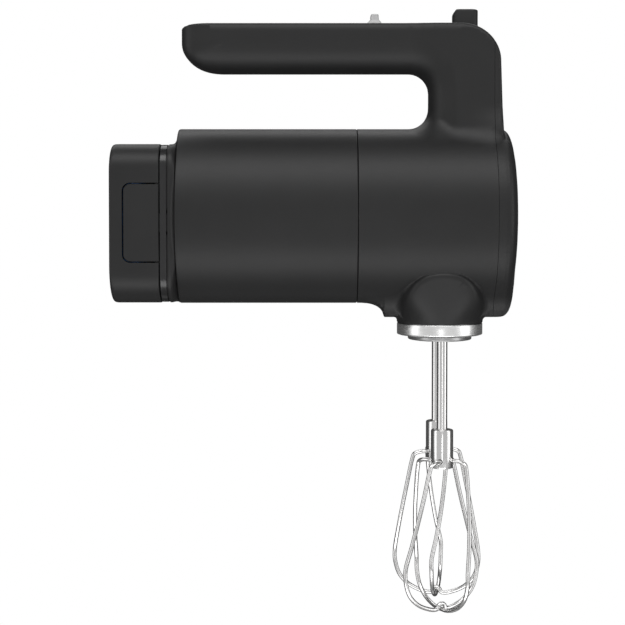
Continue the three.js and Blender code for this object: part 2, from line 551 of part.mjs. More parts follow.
function batteryPack() {
  const { rear, front } = BATTERY;
  const everywhere = [-FAR, FAR];
  const rounding = 5;
  const long = alongX(packSection(0), rear, front + 2 * rounding, rounding);
  const block = common(long, box([rear - 1, front], everywhere, everywhere));
  const hollow = alongX(packSection(PACK_WALL), rear + PACK_WALL, front + 1);
  const windowX = [LATCH.rear - LATCH.groove, front + 1];
  const windowZ = [LATCH.bottom - LATCH.groove, LATCH.top + LATCH.groove];
  const windows = SIDES.map(([s]) => box(windowX, outwards(s, [30, 40]), windowZ));
  piece('battery_case', cut(block, hollow, ...windows), BLACK);
  const plate = alongX(packSection(PACK_WALL + GAP), front - 2.8, front - GAP);
  const notches = SIDES.map(([s]) => box([-180, -160], outwards(s, [30.6, 40]), [46, 97]));
  const across = TERMINAL.halfWidth - 0.1;
  const window = box([-180, -160], [-across, across], [TERMINAL.z[0] - GAP, TERMINAL.z[1] + GAP]);
  const seats = SIDES.map(([s]) => box([-186, front - 2], outwards(s, LATCH_SEAT.y), LATCH_SEAT.z));
  piece('battery_front_plate', join(cut(plate, window, ...notches), ...seats), DARK);
  batteryTerminals();
  [-CELL.pitch, 0, CELL.pitch].forEach((y, i) => {
    const ends = CELL.z.map((z) => [CELL.x, y, z]);
    piece(`battery_cell_${i + 1}`, rod(CELL.radius, ...ends), CELL_WRAP);
  });
  SIDES.forEach(([side, name]) => latch(side, name));
}

// ---- Beaters ----
// One wire: from its hole in the collar, out over the shoulder, down and round, and back up.
function loopPath(hooked) {
  const { holeZ, shoulder, shoulderZ, widest, widestZ, foot } = LOOP;
  const arm = [
    [3, holeZ], [7, holeZ], [12, holeZ - 0.2], [15.2, holeZ - 1.7], [shoulder, shoulderZ],
    [18.9, -92], [21.5, -107], [24, -121.5], [widest, widestZ],
    [26.3, -143], [23.4, -151.5], [17.5, -157.6], [10.5, -161]];
  const crossing = hooked
    ? [[5.2, foot + 0.2], [3.1, foot + 0.6], [1.9, foot + 2.6], [0, foot + 3.4]]
    : [[4.5, foot + 0.1], [0, foot]];
  const half = [...arm, ...crossing].map(([radius, z]) => {
    const fall = THREE.MathUtils.clamp((z - widestZ) / (shoulderZ - widestZ), 0, 1);
    const entry = THREE.MathUtils.clamp((shoulder - radius) / (shoulder - 7), 0, 1);
    const turn = z > shoulderZ ? ARM_TWIST + (HOLE_TWIST - ARM_TWIST) * entry : ARM_TWIST * fall;
    return new THREE.Vector3(radius * Math.sin(turn), -radius * Math.cos(turn), z);
  });
  const back = half.slice(0, -1).reverse().map((p) => new THREE.Vector3(-p.x, -p.y, p.z));
  return new THREE.CatmullRomCurve3([...half, ...back]);
}

function beater(name, y, phase) {
  const place = new THREE.Group();
  place.position.y = y;
  mixer.add(place);
  const { shaft, top, foot, collar, collarTop, collarFoot, wire } = BEATER;
  piece(`${name}_beater_shaft`, rod(shaft, [0, 0, foot], [0, 0, top], 20), STEEL, place);
  const bore = rod(shaft + GAP, [0, 0, foot - GAP], [0, 0, 0], 20);
  const holes = [0, 1, 2, 3].map((quarter) => {
    const turn = phase + HOLE_TWIST + (quarter * Math.PI) / 2;
    const at = (radius) => [radius * Math.sin(turn), -radius * Math.cos(turn), LOOP.holeZ];
    return rod(wire + 0.5, at(2.2), at(collar + 2.25), 12);
  });
  const turned = rod(collar, [0, 0, collarFoot], [0, 0, collarTop], 28);
  piece(`${name}_beater_collar`, cut(turned, bore, ...holes), STEEL, place);
  [[false, 'a', 0], [true, 'b', Math.PI / 2]].forEach(([hooked, letter, quarter]) => {
    const loop = piece(`${name}_beater_loop_${letter}`, swept(loopPath(hooked), wire, 56), STEEL, place);
    loop.rotation.z = phase + quarter;
  });
}

housings();
baseAndRing();
gearTrain();
gearFrame();
motor();
controls();
dock();
batteryPack();
beater('near', -SOCKET_Y, THREE.MathUtils.degToRad(31));
beater('far', SOCKET_Y, THREE.MathUtils.degToRad(-11));

export default mixer;
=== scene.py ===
import json
import math

import bmesh
import bpy
import numpy as np
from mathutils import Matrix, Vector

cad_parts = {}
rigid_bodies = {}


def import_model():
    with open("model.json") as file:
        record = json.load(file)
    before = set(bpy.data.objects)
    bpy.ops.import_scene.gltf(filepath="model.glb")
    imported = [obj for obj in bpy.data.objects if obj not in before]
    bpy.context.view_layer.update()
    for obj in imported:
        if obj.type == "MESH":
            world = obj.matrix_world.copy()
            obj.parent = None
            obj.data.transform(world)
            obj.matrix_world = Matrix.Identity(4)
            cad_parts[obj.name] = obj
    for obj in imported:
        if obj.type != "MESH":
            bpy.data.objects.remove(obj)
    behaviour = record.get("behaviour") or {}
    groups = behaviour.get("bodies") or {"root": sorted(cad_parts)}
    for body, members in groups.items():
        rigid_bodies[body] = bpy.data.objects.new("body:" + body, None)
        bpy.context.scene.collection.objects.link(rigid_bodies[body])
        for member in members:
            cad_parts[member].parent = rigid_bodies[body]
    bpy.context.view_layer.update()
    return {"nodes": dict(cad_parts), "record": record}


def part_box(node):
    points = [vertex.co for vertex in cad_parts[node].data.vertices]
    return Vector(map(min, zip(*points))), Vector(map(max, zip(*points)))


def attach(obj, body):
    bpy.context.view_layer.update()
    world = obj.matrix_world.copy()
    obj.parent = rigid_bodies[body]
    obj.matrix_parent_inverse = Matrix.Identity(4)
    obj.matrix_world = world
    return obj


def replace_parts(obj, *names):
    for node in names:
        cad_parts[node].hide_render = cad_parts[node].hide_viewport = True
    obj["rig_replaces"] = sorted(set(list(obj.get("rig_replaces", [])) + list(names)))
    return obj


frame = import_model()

import openvdb
from mathutils import Vector

MM = 0.001  # lengths below are in millimetres, in the row frame


def corners(node):
    """A CAD node's lowest and highest corner, in millimetres."""
    low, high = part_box(node)
    return np.array(low) / MM, np.array(high) / MM


# ---- Positions taken from the CAD ----
CAP_LOW, CAP_HIGH = corners("front_cap")
REAR_LOW, REAR_HIGH = corners("rear_housing")
HOUSING_LOW, HOUSING_HIGH = corners("front_housing_near")
PACK_LOW, PACK_HIGH = corners("battery_case")
DOCK_LOW, DOCK_HIGH = corners("battery_dock")
RING_LOW, RING_HIGH = corners("collar_ring")
PLATE_HIGH = corners("base_plate")[1]
SLIDER_LOW, SLIDER_HIGH = corners("speed_slider")
BUTTON_LOW, BUTTON_HIGH = corners("eject_button")
AXLE = (REAR_LOW[2] + REAR_HIGH[2]) / 2  # height of the barrel's axis
HALF_W = REAR_HIGH[1]
HALF_H = REAR_HIGH[2] - AXLE
CAP_SEAM = CAP_LOW[0]
CAP_DEPTH = CAP_HIGH[0] - CAP_SEAM
TOP = HOUSING_HIGH[2]
TIP = HOUSING_LOW[0]
SOCKETS = (-20.0, 20.0)  # where the two beaters stand, in Y

# ---- Sizes of the moulded front ----
LOW_PART = 145  # everything of the barrel lies below this
DRUM = AXLE - 13.4  # depth of the underside in front, below the axis
BELLY_START, BELLY_RUN, BELLY_DROP = -50.9, 16.5, 8.7  # the underside's curve down behind the boss
STEP_X, STEP_SLOPE = -35.23, 3.0  # the steep step that follows it
KEEL_HALF, KEEL_EDGE = 13, 22  # the deeper strip's half width, and where its hollow flank ends
CAP_POWER, SECTION_POWER = 5.4, 2.3  # how square the nose cap's profile is
GAP_TOP = 161.7  # the handle's underside
COLUMN_REAR = -7.5
FILLET = 12.0  # in the corners of the finger gap
NOSE_LENGTH, NOSE_HEIGHT = 25.5, 18.3  # the lower curve of the handle's free end
HEEL_LENGTH, HEEL_HEIGHT = 17.0, 3.4  # the upper curve of the free end
CROWN_X, CROWN_Z, CROWN_LENGTH = 11.3, 168.6, 24.2  # the curve from the handle's top to the column's front
LEAN_RISE, LEAN_RUN = 38.6, 1.3  # the column's front leans forwards by this much
GRIP_HALF = 15.5  # the handle's half width
EDGE_TOP = 2.4  # rounding along the handle's top
BOSS_RADIUS, BOSS_WIDEN = 26.3, 8.2
FACE_Z, ARCH_Z = 10.14, 16.7  # the boss's lower face, and the centre of its arch
TIP_Z = GAP_TOP + NOSE_HEIGHT


# ---- Distance fields for the moulded front ----
def hypot(a, b):
    return np.sqrt(a * a + b * b)


def smooth(low, high, value):
    t = np.clip((value - low) / (high - low), 0, 1)
    return t * t * (3 - 2 * t)


def union(a, b, r):
    return np.maximum(r, np.minimum(a, b)) - hypot(np.maximum(r - a, 0), np.maximum(r - b, 0))


def common(a, b, r):
    return np.minimum(-r, np.maximum(a, b)) + hypot(np.maximum(r + a, 0), np.maximum(r + b, 0))


def ellipse(u, v, a, b):
    k0 = hypot(u / a, v / b)
    k1 = hypot(u / (a * a), v / (b * b))
    return (k0 - 1) * k0 / np.maximum(k1, 1e-9)


def belly(x):
    """How far the underside has deepened at x."""
    t = np.clip((x - BELLY_START) / BELLY_RUN, 0, 0.95)
    curve = BELLY_DROP * (1 - np.sqrt(1 - t ** 2.8))
    return np.minimum(curve + STEP_SLOPE * np.maximum(x - STEP_X, 0), DRUM - HALF_H)


def barrel_field(x, y, z):
    """An oval barrel with a deeper keel below, closed by a domed nose."""
    up = z - AXLE
    deeper = belly(x)
    reach = np.clip((KEEL_EDGE - np.abs(y)) / (KEEL_EDGE - KEEL_HALF), 0, 0.99)
    keel = np.where(up < 0, np.where(np.abs(y) < KEEL_HALF, 1, 1 - np.sqrt(1 - reach * reach)), 0)
    level = 0.5 / np.sqrt(1 - (np.minimum(np.abs(y), KEEL_HALF + 1) / HALF_W) ** 2) - 0.5
    half = HALF_H + keel * (deeper + level * (HALF_H + deeper) * np.minimum(deeper / 3, 1))
    slope = keel * (belly(x + 0.02) - belly(x - 0.02)) / 0.04
    r = np.maximum(hypot(y / HALF_W, up / half), 1e-3)
    across = hypot(y / HALF_W ** 2, up / half ** 2) / r
    u = np.maximum((x - CAP_SEAM) / CAP_DEPTH, 1e-6)
    total = u ** CAP_POWER + r ** SECTION_POWER
    ease = total ** (1 / SECTION_POWER - 1) / SECTION_POWER
    radial = SECTION_POWER * r ** (SECTION_POWER - 1)
    along = CAP_POWER * u ** (CAP_POWER - 1) / CAP_DEPTH - radial * up * up / half ** 3 * slope / r
    steep = ease * hypot(along, radial * across)
    return (total ** (1 / SECTION_POWER) - 1) / np.maximum(steep, 1e-4)


def grip_field(x, y, z):
    """The handle and the column as one bow, wider at the column."""
    nose_x, heel_x, heel_z = TIP + NOSE_LENGTH, TIP + HEEL_LENGTH, TOP - HEEL_HEIGHT
    nose = np.where(z < TIP_Z, ellipse(x - nose_x, z - TIP_Z, NOSE_LENGTH, NOSE_HEIGHT), TIP - x)
    under = union(np.where(x < nose_x, nose, GAP_TOP - z), COLUMN_REAR - x, FILLET)
    lean = (x - CROWN_X - CROWN_LENGTH) * LEAN_RISE + (z - CROWN_Z) * LEAN_RUN
    front = lean / math.hypot(LEAN_RISE, LEAN_RUN)
    crown = ellipse(x - CROWN_X, z - CROWN_Z, CROWN_LENGTH, TOP - CROWN_Z)
    over = np.where((x > CROWN_X) & (z > CROWN_Z), crown, np.maximum(front, z - TOP))
    heel = ellipse(x - heel_x, z - heel_z, HEEL_LENGTH, HEEL_HEIGHT)
    over = np.where((x < heel_x) & (z > heel_z), heel, over)
    foot = smooth(4, 36, x) * smooth(144, 124, z)
    side = np.abs(y) - (GRIP_HALF + 2 * smooth(-24, 0, x) + 3.4 * foot)
    soft = 17.2 - 6.4 * smooth(TIP + 24, TIP + 4, x)
    soft = soft - (soft - 2.0) * smooth(2, 24, x)
    body = np.maximum(under, common(under / 1.3, side, soft))
    return np.maximum(np.maximum(body, common(over, side, EDGE_TOP)), 92 - z)


def boss_field(x, y, z):
    """The round boss over the ring, which turns squarer and wider upwards and ends in an arch."""
    rise = np.clip((z - FACE_Z) / 30, 0, 1)
    width = RING_HIGH[1] + BOSS_WIDEN * rise
    power = 2 + 2.2 * smooth(0, 0.7, rise)
    u, v = np.maximum(np.abs(x) / BOSS_RADIUS, 1e-4), np.maximum(np.abs(y) / width, 1e-4)
    total = u ** power + v ** power
    size = total ** (1 / power)
    steep = size / total * hypot(u ** (power - 1) / BOSS_RADIUS, v ** (power - 1) / width)
    wall = (size - 1) / steep
    arch = np.where(z > ARCH_Z, hypot(x, z - ARCH_Z), np.abs(x)) - BOSS_RADIUS
    return np.maximum(common(wall, arch, 4.5 * smooth(16, 28, z)), FACE_Z - z)


def front_field(x, y, z):
    """Barrel, handle and boss in one: negative inside, and in millimetres near the surface."""
    root = 12 - 6 * smooth(-6, 8, x) - 4.8 * smooth(29, 38.5, x)
    body = union(barrel_field(x, y, z), grip_field(x, y, z), root)
    flare = 2.4 + 3.6 * smooth(14, 20, z) - 5.4 * smooth(24, 38, z)
    return union(body, boss_field(x, y, z), flare)


def gradient(p, h=0.04):
    x, y, z = p.T
    return np.stack([
        front_field(x + h, y, z) - front_field(x - h, y, z),
        front_field(x, y + h, z) - front_field(x, y - h, z),
        front_field(x, y, z + h) - front_field(x, y, z - h)], axis=1) / (2 * h)


def normals_at(p):
    g = gradient(p)
    return g / np.maximum(np.linalg.norm(g, axis=1, keepdims=True), 1e-9)


def settle(points, rounds=6):
    """Moves the points near the surface onto it, along the field's gradient."""
    near = np.abs(front_field(*points.T)) < 1.2
    p = points[near]
    for _ in range(rounds):
        g = gradient(p)
        f = front_field(*p.T)
        p = p - np.clip(f / np.maximum((g * g).sum(1), 0.05), -1, 1)[:, None] * g
    points[near] = p
    return points


def front_surface(low, high, step):
    """The field's surface inside a box, as points and faces."""
    low, high = np.array(low, float), np.array(high, float)
    counts = np.ceil((high - low) / step).astype(int)
    axes = [low[k] + step * np.arange(counts[k]) for k in range(3)]
    x, y, z = np.meshgrid(*axes, indexing="ij", sparse=True)
    field = np.maximum(front_field(x, y, z), np.where(z > LOW_PART, -1e3, -54 - x))
    grid = openvdb.FloatGrid(background=6.0)
    grid.copyFromArray(np.ascontiguousarray(np.clip(field, -6, 6).astype(np.float32)))
    points, triangles, quads = grid.convertToPolygons(isovalue=0.0, adaptivity=0.01)
    faces = [tuple(int(i) for i in f[::-1]) for f in list(quads) + list(triangles)]
    return settle(low + step * np.asarray(points, float)), faces


# ---- Mesh helpers ----
def mesh_of(name, points, faces, smooth_angle=35):
    mesh = bpy.data.meshes.new(name)
    mesh.from_pydata([tuple(p) for p in np.asarray(points, float) * MM], [], faces)
    mesh.validate()
    mesh.shade_smooth()
    if smooth_angle:
        mesh.set_sharp_from_angle(angle=math.radians(smooth_angle))
    piece = bpy.data.objects.new(name, mesh)
    bpy.context.scene.collection.objects.link(piece)
    return piece


def sharpen(piece, angle):
    """Smooth shading, with the edges over an angle in degrees left sharp."""
    piece.data.shade_smooth()
    piece.data.set_sharp_from_angle(angle=math.radians(angle))


def outwards(piece):
    """Turns all faces to the outside."""
    bm = bmesh.new()
    bm.from_mesh(piece.data)
    bmesh.ops.recalc_face_normals(bm, faces=bm.faces)
    bm.to_mesh(piece.data)
    bm.free()
    return piece


def loft(name, rings, closed=False, smooth_angle=35):
    """Quads between rings of equally many points; open lofts get flat caps."""
    n = len(rings[0])
    count = len(rings)
    faces = []
    for k in range(count if closed else count - 1):
        a, b = k * n, ((k + 1) % count) * n
        faces += [(a + i, a + (i + 1) % n, b + (i + 1) % n, b + i) for i in range(n)]
    if not closed:
        faces += [tuple(range(n))[::-1], tuple(range((count - 1) * n, count * n))]
    return outwards(mesh_of(name, np.concatenate(rings), faces, smooth_angle))


def turned(name, profile, centre=(0, 0), sides=96, closed=False, smooth_angle=30):
    """A lathe about the Z axis: profile is [radius, z]."""
    t = np.linspace(0, 2 * np.pi, sides, endpoint=False)
    rings = [np.column_stack([centre[0] + r * np.cos(t), centre[1] + r * np.sin(t), np.full(sides, float(z))])
             for r, z in profile]
    return loft(name, rings, closed, smooth_angle)


def boolean(piece, *tools, operation="DIFFERENCE"):
    """Cuts the tools out of a piece, or joins or intersects them, and removes them."""
    for tool in tools:
        change = piece.modifiers.new("cut", "BOOLEAN")
        change.operation = operation
        change.solver = "EXACT"
        change.object = tool
    bpy.context.view_layer.update()
    finished = piece.evaluated_get(bpy.context.evaluated_depsgraph_get())
    result = bpy.data.meshes.new_from_object(finished)
    piece.modifiers.clear()
    piece.data = result
    for tool in tools:
        bpy.data.objects.remove(tool)
    return piece


def rounded_outline(u0, u1, v0, v1, radii, arc=10, edge=6):
    """Points round a rectangle, anticlockwise, with radii from the lower right corner on."""
    places = [(u1, v0, -1, 1), (u1, v1, -1, -1), (u0, v1, 1, -1), (u0, v0, 1, 1)]
    points = []
    for k, (u, v, su, sv) in enumerate(places):
        r = max(radii[k], 0.01)
        t = np.linspace(-np.pi / 2 + k * np.pi / 2, k * np.pi / 2, arc)
        points.append(np.stack([u + su * r + r * np.cos(t), v + sv * r + r * np.sin(t)], axis=1))
    full = []
    for k in range(4):
        full.append(points[k])
        a, b = points[k][-1], points[(k + 1) % 4][0]
        t = np.linspace(0, 1, edge + 2)[1:-1, None]
        full.append(a + (b - a) * t)
    return np.concatenate(full)


def block(name, x, y, z, radii=(0, 0, 0, 0), bevel=0.0):
    """A prism along Y, with a rounded outline in X and Z, and bevelled ends."""
    spans = [(y[0], 0), (y[1], 0)]
    if bevel:
        spans = [(y[0], bevel), (y[0] + bevel, 0), (y[1] - bevel, 0), (y[1], bevel)]
    rings = []
    for at, inset in spans:
        shape = rounded_outline(x[0] + inset, x[1] - inset, z[0] + inset, z[1] - inset,
                                [max(r - inset, 0.01) for r in radii])
        rings.append(np.stack([shape[:, 0], np.full(len(shape), at), shape[:, 1]], axis=1))
    return loft(name, rings)


# ---- Materials ----
def nodes_of(name):
    """A new material, its node tree and its shader."""
    material = bpy.data.materials.new(name)
    material.use_nodes = True
    tree = material.node_tree
    return material, tree, tree.nodes["Principled BSDF"]


def noise(tree, scale, detail, stretch=(1, 1, 1)):
    """Noise on the piece's own coordinates, in metres."""
    place = tree.nodes.new("ShaderNodeTexCoord")
    mapping = tree.nodes.new("ShaderNodeMapping")
    mapping.inputs["Scale"].default_value = stretch
    texture = tree.nodes.new("ShaderNodeTexNoise")
    texture.inputs["Scale"].default_value = scale
    texture.inputs["Detail"].default_value = detail
    tree.links.new(place.outputs["Object"], mapping.inputs["Vector"])
    tree.links.new(mapping.outputs["Vector"], texture.inputs["Vector"])
    return texture.outputs["Fac"]


def ramp(tree, source, low, high, start=0.3, end=0.7):
    """Maps start to low and end to high."""
    node = tree.nodes.new("ShaderNodeMapRange")
    node.inputs["From Min"].default_value = start
    node.inputs["From Max"].default_value = end
    node.inputs["To Min"].default_value = low
    node.inputs["To Max"].default_value = high
    tree.links.new(source, node.inputs["Value"])
    return node.outputs["Result"]


def two_colours(tree, source, second):
    """A mix that goes to the second colour with source; the caller sets the first one, A."""
    node = tree.nodes.new("ShaderNodeMix")
    node.data_type = "RGBA"
    node.inputs["B"].default_value = (*second, 1)
    tree.links.new(source, node.inputs["Factor"])
    return node


def bump(tree, source, distance):
    node = tree.nodes.new("ShaderNodeBump")
    node.inputs["Strength"].default_value = 0.25
    node.inputs["Distance"].default_value = distance
    tree.links.new(source, node.inputs["Height"])
    return node.outputs["Normal"]


PATCH_SCALE = 45.0  # the slow change of colour over a surface
EDGE_START, EDGE_END, EDGE_WEAR = 0.52, 0.6, 0.15  # pointiness of a worn edge, and how much shows


def finish(name, colour, rough, spread=0.1, metal=0.0, grain=1400.0, depth=0.00003,
           stretch=(1, 1, 1), rough_spread=0.05, gloss=0.5):
    """A moulded, cast or brushed surface: fine grain, uneven gloss and slightly worn edges."""
    material, tree, shader = nodes_of(name)
    fine = noise(tree, grain, 2.0, stretch)
    broad = ramp(tree, noise(tree, PATCH_SCALE, 4.0), 0.0, 1.0)
    base = two_colours(tree, broad, [min(1.0, c * (1 + spread)) for c in colour])
    base.inputs["A"].default_value = (*[c * (1 - spread) for c in colour], 1)
    edge = tree.nodes.new("ShaderNodeNewGeometry").outputs["Pointiness"]
    worn = two_colours(tree, ramp(tree, edge, 0.0, EDGE_WEAR, EDGE_START, EDGE_END),
                       [min(1.0, c * 1.6 + 0.004) for c in colour])
    uneven = ramp(tree, fine, rough - rough_spread, rough + rough_spread)
    tree.links.new(base.outputs["Result"], worn.inputs["A"])
    tree.links.new(worn.outputs["Result"], shader.inputs["Base Color"])
    tree.links.new(uneven, shader.inputs["Roughness"])
    tree.links.new(bump(tree, fine, depth), shader.inputs["Normal"])
    shader.inputs["Metallic"].default_value = metal
    shader.inputs["Specular IOR Level"].default_value = gloss
    return material


LOOKS = {
    "black_shell": finish("black_shell", (0.0105, 0.0105, 0.0107), 0.46, 0.08, grain=1500,
                          depth=0.00004, gloss=0.33),
    "dark_plastic": finish("dark_plastic", (0.009, 0.009, 0.0095), 0.22, 0.1, grain=900, depth=0.00001),
    "grey_plastic": finish("grey_plastic", (0.42, 0.42, 0.42), 0.34, 0.06, metal=0.9, grain=1400),
    "silver_plastic": finish("silver_plastic", (0.36, 0.36, 0.36), 0.42, 0.05, metal=0.3, grain=2200),
    "brushed_ring": finish("brushed_ring", (0.9, 0.9, 0.895), 0.3, 0.08, metal=1.0, grain=260,
                           depth=0.00002, stretch=(1, 1, 24), rough_spread=0.07),
    "bright_wire": finish("bright_wire", (0.76, 0.755, 0.75), 0.17, 0.04, metal=1.0, grain=700,
                          depth=0.00001, rough_spread=0.04),
    "machined_steel": finish("machined_steel", (0.55, 0.55, 0.55), 0.3, 0.08, metal=1.0, grain=500,
                             stretch=(1, 1, 9)),
    "zinc": finish("zinc", (0.5, 0.51, 0.52), 0.42, 0.1, metal=0.95, grain=900, depth=0.00005),
    "bronze": finish("bronze", (0.6, 0.4, 0.2), 0.36, 0.12, metal=1.0, grain=1100),
    "nylon": finish("nylon", (0.72, 0.68, 0.57), 0.5, 0.05, grain=700),
    "ferrite": finish("ferrite", (0.05, 0.05, 0.055), 0.62, 0.2, grain=1600, depth=0.00006),
    "board": finish("board", (0.02, 0.12, 0.05), 0.4, 0.25, grain=300, depth=0.00008),
    "cell_wrap": finish("cell_wrap", (0.05, 0.16, 0.4), 0.3, 0.08, metal=0.2, grain=400),
}

slot_of = {entry["node"]: entry["material_slot"] for entry in frame["record"]["subparts"]}


def place(piece, body, slot, *nodes):
    """Gives a finished piece its material, body and the CAD nodes that it stands for."""
    piece.data.materials.clear()
    piece.data.materials.append(LOOKS[slot])
    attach(piece, body)
    if nodes:
        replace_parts(piece, *nodes)
    return piece


# ---- The moulded front: two halves and the nose cap ----
WALL = 1.7
STEP = 0.8  # of the grid that the surface is found on
EVERYWHERE = 999
# Each cut plane is a point, its outward normal, how high it reaches and the bevel at its edge.
MIDDLE = ((0, -0.15, 0), (0, 1, 0), EVERYWHERE, 0.2)
FRONT_SEAM = ((CAP_SEAM - 0.12, 0, 0), (1, 0, 0), EVERYWHERE, 0.1)
CAP_EDGE = ((CAP_SEAM, 0, 0), (-1, 0, 0), EVERYWHERE, 0.08)
REAR_SEAM = ((REAR_HIGH[0] + 0.3, 0, 0), (-1, 0, 0), LOW_PART, 0.2)


def sliced(points, faces, planes):
    """The part of a surface on the inner side of each plane, with its open edges."""
    bm = bmesh.new()
    added = [bm.verts.new(p) for p in points]
    for f in faces:
        if len(set(f)) == len(f):
            try:
                bm.faces.new([added[i] for i in f])
            except ValueError:
                pass
    for at, normal, reach, _ in planes:
        part = [f for f in bm.faces if f.verts[0].co.z < reach]
        part += list({e for f in part for e in f.edges}) + list({v for f in part for v in f.verts})
        bmesh.ops.bisect_plane(bm, geom=part, dist=1e-3, plane_co=at, plane_no=normal, clear_outer=True)
    bmesh.ops.delete(bm, geom=[v for v in bm.verts if not v.link_faces], context="VERTS")
    bm.verts.index_update()
    kept = np.array([v.co for v in bm.verts], float)
    shapes = [tuple(v.index for v in f.verts) for f in bm.faces]
    edges = [(e.link_loops[0].vert.index, e.link_loops[0].link_loop_next.vert.index)
             for e in bm.edges if len(e.link_faces) == 1]
    bm.free()
    return kept, shapes, edges


def shell(name, points, faces, planes):
    """A moulded skin: the outer face, a small bevel at each cut plane, the rim and the inner face."""
    inset = [(np.array(at) - bevel * np.array(n), n, reach, bevel) for at, n, reach, bevel in planes]
    outer, shapes, edges = sliced(points, faces, inset)
    normal = normals_at(outer)
    border = sorted({i for e in edges for i in e})
    ring = {v: k for k, v in enumerate(border)}
    lip = outer[border].copy()
    sink = np.zeros((len(border), 1))
    for at, n, reach, bevel in inset:
        gap = np.abs((outer[border] - at) @ np.array(n, float))
        on_plane = (gap < 0.02) & (outer[border][:, 2] < reach)
        lip[on_plane] += bevel * np.array(n, float)
        sink[on_plane] = np.maximum(sink[on_plane], bevel)
    inner = outer - WALL * normal
    back = lip - WALL * normal[border]
    lip = lip - sink * normal[border]
    first_lip = len(outer)
    first_inner = first_lip + len(border)
    first_back = first_inner + len(outer)
    rims = []
    for a, b in edges:
        la, lb = first_lip + ring[a], first_lip + ring[b]
        ba, bb = first_back + ring[a], first_back + ring[b]
        rims += [(b, a, la, lb), (lb, la, ba, bb), (bb, ba, first_inner + a, first_inner + b)]
    inside = [tuple(first_inner + i for i in f[::-1]) for f in shapes]
    piece = mesh_of(name, np.concatenate([outer, lip, inner, back]), shapes + rims + inside, 0)
    # The two slots hold the same material: the second one marks the faces that aren't outside.
    tags = np.ones(len(piece.data.polygons), np.int32)
    tags[:len(shapes)] = 0
    piece.data.materials.append(LOOKS["black_shell"])
    piece.data.materials.append(LOOKS["black_shell"])
    piece.data.polygons.foreach_set("material_index", tags)
    return piece


def mirror(piece, name):
    """A copy of a piece on the other side of the middle plane."""
    mesh = piece.data.copy()
    bm = bmesh.new()
    bm.from_mesh(mesh)
    for v in bm.verts:
        v.co.y = -v.co.y
    bmesh.ops.reverse_faces(bm, faces=bm.faces)
    bm.to_mesh(mesh)
    bm.free()
    other = bpy.data.objects.new(name, mesh)
    bpy.context.scene.collection.objects.link(other)
    return other


def exact_normals(piece):
    """Shades the outer faces by the field's own normals, and every other face flat."""
    mesh = piece.data
    mesh.shade_smooth()
    tags = np.zeros(len(mesh.polygons), np.int32)
    mesh.polygons.foreach_get("material_index", tags)
    co = np.zeros(len(mesh.vertices) * 3)
    mesh.vertices.foreach_get("co", co)
    exact = normals_at(co.reshape(-1, 3) / MM)
    corner_vertex = np.zeros(len(mesh.loops), np.int32)
    mesh.loops.foreach_get("vertex_index", corner_vertex)
    flat = np.zeros(len(mesh.polygons) * 3)
    mesh.polygons.foreach_get("normal", flat)
    flat = flat.reshape(-1, 3)
    sizes = np.zeros(len(mesh.polygons), np.int32)
    mesh.polygons.foreach_get("loop_total", sizes)
    owner = np.repeat(np.arange(len(sizes)), sizes)
    use = (tags[owner] == 0) & ((exact[corner_vertex] * flat[owner]).sum(1) > 0.5)
    final = np.where(use[:, None], exact[corner_vertex], flat[owner])
    mesh.normals_split_custom_set([tuple(n) for n in final])
    return piece


def upright(name, outline, z0, z1):
    """A prism along Z."""
    return loft(name, [np.column_stack([outline, np.full(len(outline), float(z))]) for z in (z0, z1)])


def crosswise(name, x, z, radius, y0, y1, sides=32, bore=0.0):
    """A rod or tube along Y."""
    profile = [(radius, y0), (radius, y1)]
    if bore:
        profile = [(bore, y0), *profile, (bore, y1)]
    piece = turned(name, profile, sides=sides, closed=bool(bore))
    for v in piece.data.vertices:
        a, b, along = v.co
        v.co = (x * MM + a, along, z * MM + b)
    return outwards(piece)


SCREWS = [sum(corners(f"housing_screw_{i}")) / 2 for i in (1, 2, 3)]
SCREW_BORE = 3.2
BUTTON_X = (7.4, 22.5)
body_points, body_faces = front_surface((TIP - 4, -46, 4), (36, 3, 198), STEP)
near_shell = shell("front_shell_near", body_points, body_faces, [MIDDLE, FRONT_SEAM, REAR_SEAM])
far_shell = mirror(near_shell, "front_shell_far")
slot_outline = rounded_outline(-43.5, -19.5, -2.3, 2.3, [2.25] * 4)
hole_outline = rounded_outline(BUTTON_X[0] - 0.3, BUTTON_X[1] + 0.3, -7.3, 7.3, [2.8] * 4)
for piece in (near_shell, far_shell):
    tools = [upright("slot_cutter", slot_outline, 188, 200), upright("button_cutter", hole_outline, 188, 200)]
    if piece is far_shell:
        tools += [crosswise("screw_cutter", s[0], s[2], SCREW_BORE, 8, 24) for s in SCREWS]
    boolean(piece, *tools)
    exact_normals(piece)
cap_points, cap_faces = front_surface((28, -46, 4), (52, 46, 198), STEP)
nose_cap = exact_normals(shell("nose_cap", cap_points, cap_faces, [CAP_EDGE]))
for piece, node in ((near_shell, "front_housing_near"), (far_shell, "front_housing_far"),
                    (nose_cap, "front_cap")):
    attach(piece, "housing")
    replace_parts(piece, node)
for i, s in enumerate(SCREWS):
    reach = 14.5 if s[0] > 0 else 12.9
    post = crosswise(f"screw_boss_far_{i + 1}", s[0], s[2], 4.4, 0.4, reach, bore=SCREW_BORE)
    place(post, "housing", "black_shell")
    pillar = crosswise(f"screw_boss_near_{i + 1}", s[0], s[2], 4.4, -reach, -0.4, bore=1.7)
    place(pillar, "housing", "black_shell")


# ---- Rear barrel, dock and battery ----
PACK_RADII = (20, 15, 15, 20)  # of the battery's lower, upper, upper and lower corner


def oval_ring(x, inset, sides=144):
    """The barrel's section at x, smaller by inset."""
    t = np.linspace(0, 2 * np.pi, sides, endpoint=False)
    return np.stack([np.full(sides, float(x)), (HALF_W - inset) * np.cos(t),
                     AXLE + (HALF_H - inset) * np.sin(t)], axis=1)


